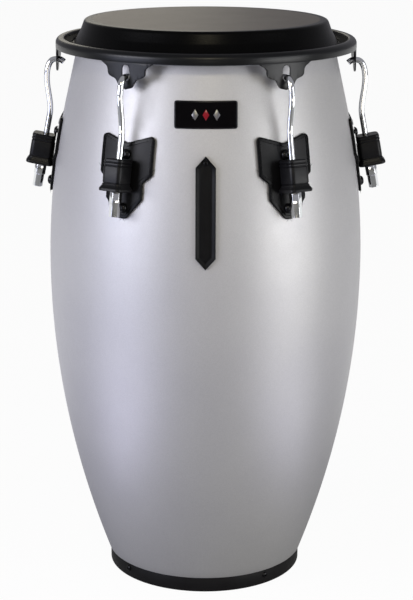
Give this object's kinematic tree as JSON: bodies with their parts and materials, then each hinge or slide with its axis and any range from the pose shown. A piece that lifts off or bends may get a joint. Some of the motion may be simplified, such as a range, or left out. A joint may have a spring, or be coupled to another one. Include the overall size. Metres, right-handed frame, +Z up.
{
  "type": "conga drum",
  "caption": "Tall barrel drum with a tuned head: hooks on lugs draw a rolled rim down over the shell's edge when the nuts under the lugs are turned.",
  "frame": {"origin": "middle of the foot, on the floor", "axes": "+Z up along the drum's axis; the front, with the badge and the shell protector, faces -Y"},
  "size_m": [0.4812, 0.4305, 0.762],
  "materials": {
    "shell_lacquer": "silver metallic lacquer on fibreglass, clear-coated",
    "band_enamel": "black gloss enamel",
    "black_fastener": "black, satin",
    "head_film": "black synthetic film, matt",
    "hoop_alloy": "plain",
    "rim_powder_coat": "black powder coat, satin",
    "hook_chrome": "polished",
    "nut_chrome": "polished",
    "lug_powder_coat": "black powder coat, satin",
    "plate_powder_coat": "black powder coat, satin",
    "zinc_steel": "zinc-plated",
    "badge_enamel": "black gloss enamel with a silver edge",
    "protector_rubber": "moulded, matt"
  },
  "bodies": {
    "drum": {"shell": "shell_lacquer", "base_band": "band_enamel", "base_screw_1": "black_fastener", "base_screw_2": "black_fastener", "base_screw_3": "black_fastener", "base_screw_4": "black_fastener", "drum_skin": "head_film", "lug_body_1": "lug_powder_coat", "lug_body_2": "lug_powder_coat", "lug_body_3": "lug_powder_coat", "lug_body_4": "lug_powder_coat", "lug_body_5": "lug_powder_coat", "lug_body_6": "lug_powder_coat", "side_plate_1": "plate_powder_coat", "side_plate_2": "plate_powder_coat", "side_plate_3": "plate_powder_coat", "side_plate_4": "plate_powder_coat", "side_plate_5": "plate_powder_coat", "side_plate_6": "plate_powder_coat", "upper_bolt_1": "black_fastener", "upper_bolt_2": "black_fastener", "upper_bolt_3": "black_fastener", "upper_bolt_4": "black_fastener", "upper_bolt_5": "black_fastener", "upper_bolt_6": "black_fastener", "lower_bolt_1": "black_fastener", "lower_bolt_2": "black_fastener", "lower_bolt_3": "black_fastener", "lower_bolt_4": "black_fastener", "lower_bolt_5": "black_fastener", "lower_bolt_6": "black_fastener", "backing_plate_1": "zinc_steel", "backing_plate_2": "zinc_steel", "backing_plate_3": "zinc_steel", "backing_plate_4": "zinc_steel", "backing_plate_5": "zinc_steel", "backing_plate_6": "zinc_steel", "badge": "badge_enamel", "shell_protector": "protector_rubber", "protector_screw": "black_fastener"},
    "rim_ring": {"rim": "rim_powder_coat", "flesh_hoop": "hoop_alloy"},
    "hook_1": {"tuning_hook_1": "hook_chrome"},
    "hook_2": {"tuning_hook_2": "hook_chrome"},
    "hook_3": {"tuning_hook_3": "hook_chrome"},
    "hook_4": {"tuning_hook_4": "hook_chrome"},
    "hook_5": {"tuning_hook_5": "hook_chrome"},
    "hook_6": {"tuning_hook_6": "hook_chrome"},
    "nut_1": {"tuning_nut_1": "nut_chrome"},
    "nut_2": {"tuning_nut_2": "nut_chrome"},
    "nut_3": {"tuning_nut_3": "nut_chrome"},
    "nut_4": {"tuning_nut_4": "nut_chrome"},
    "nut_5": {"tuning_nut_5": "nut_chrome"},
    "nut_6": {"tuning_nut_6": "nut_chrome"}
  },
  "joints": [
    {"name": "rim_slide", "type": "slide", "parent": "drum", "child": "rim_ring", "axis": [0, 0, 1], "range_m": [-0.006, 0.008], "deforming": ["drum_skin"]},
    {"name": "hook_1_slide", "type": "slide", "parent": "drum", "child": "hook_1", "axis": [-0.0951, 0.1646, 0.9818], "range_m": [-0.0063, 0.0083]},
    {"name": "hook_2_slide", "type": "slide", "parent": "drum", "child": "hook_2", "axis": [-0.1901, 0, 0.9818], "range_m": [-0.0063, 0.0083]},
    {"name": "hook_3_slide", "type": "slide", "parent": "drum", "child": "hook_3", "axis": [-0.0951, -0.1646, 0.9818], "range_m": [-0.0063, 0.0083]},
    {"name": "hook_4_slide", "type": "slide", "parent": "drum", "child": "hook_4", "axis": [0.0951, -0.1646, 0.9818], "range_m": [-0.0063, 0.0083]},
    {"name": "hook_5_slide", "type": "slide", "parent": "drum", "child": "hook_5", "axis": [0.1901, 0, 0.9818], "range_m": [-0.0063, 0.0083]},
    {"name": "hook_6_slide", "type": "slide", "parent": "drum", "child": "hook_6", "axis": [0.0951, 0.1646, 0.9818], "range_m": [-0.0063, 0.0083]},
    {"name": "nut_1_turn", "type": "hinge", "parent": "drum", "child": "nut_1", "pos_m": [0.10944, -0.18955, 0.585], "axis": [-0.0951, 0.1646, 0.9818], "range_deg": [-2400, 1800]},
    {"name": "nut_2_turn", "type": "hinge", "parent": "drum", "child": "nut_2", "pos_m": [0.21888, 0, 0.585], "axis": [-0.1901, 0, 0.9818], "range_deg": [-2400, 1800]},
    {"name": "nut_3_turn", "type": "hinge", "parent": "drum", "child": "nut_3", "pos_m": [0.10944, 0.18955, 0.585], "axis": [-0.0951, -0.1646, 0.9818], "range_deg": [-2400, 1800]},
    {"name": "nut_4_turn", "type": "hinge", "parent": "drum", "child": "nut_4", "pos_m": [-0.10944, 0.18955, 0.585], "axis": [0.0951, -0.1646, 0.9818], "range_deg": [-2400, 1800]},
    {"name": "nut_5_turn", "type": "hinge", "parent": "drum", "child": "nut_5", "pos_m": [-0.21888, 0, 0.585], "axis": [0.1901, 0, 0.9818], "range_deg": [-2400, 1800]},
    {"name": "nut_6_turn", "type": "hinge", "parent": "drum", "child": "nut_6", "pos_m": [-0.10944, -0.18955, 0.585], "axis": [0.0951, 0.1646, 0.9818], "range_deg": [-2400, 1800]}
  ],
  "couplings": [
    {"joint": "hook_1_slide", "follows": "rim_slide", "ratio": 1.0186},
    {"joint": "hook_2_slide", "follows": "rim_slide", "ratio": 1.0186},
    {"joint": "hook_3_slide", "follows": "rim_slide", "ratio": 1.0186},
    {"joint": "hook_4_slide", "follows": "rim_slide", "ratio": 1.0186},
    {"joint": "hook_5_slide", "follows": "rim_slide", "ratio": 1.0186},
    {"joint": "hook_6_slide", "follows": "rim_slide", "ratio": 1.0186},
    {"joint": "nut_1_turn", "follows": "rim_slide", "rad_per_m": -5119.9},
    {"joint": "nut_2_turn", "follows": "rim_slide", "rad_per_m": -5119.9},
    {"joint": "nut_3_turn", "follows": "rim_slide", "rad_per_m": -5119.9},
    {"joint": "nut_4_turn", "follows": "rim_slide", "rad_per_m": -5119.9},
    {"joint": "nut_5_turn", "follows": "rim_slide", "rad_per_m": -5119.9},
    {"joint": "nut_6_turn", "follows": "rim_slide", "rad_per_m": -5119.9}
  ]
}
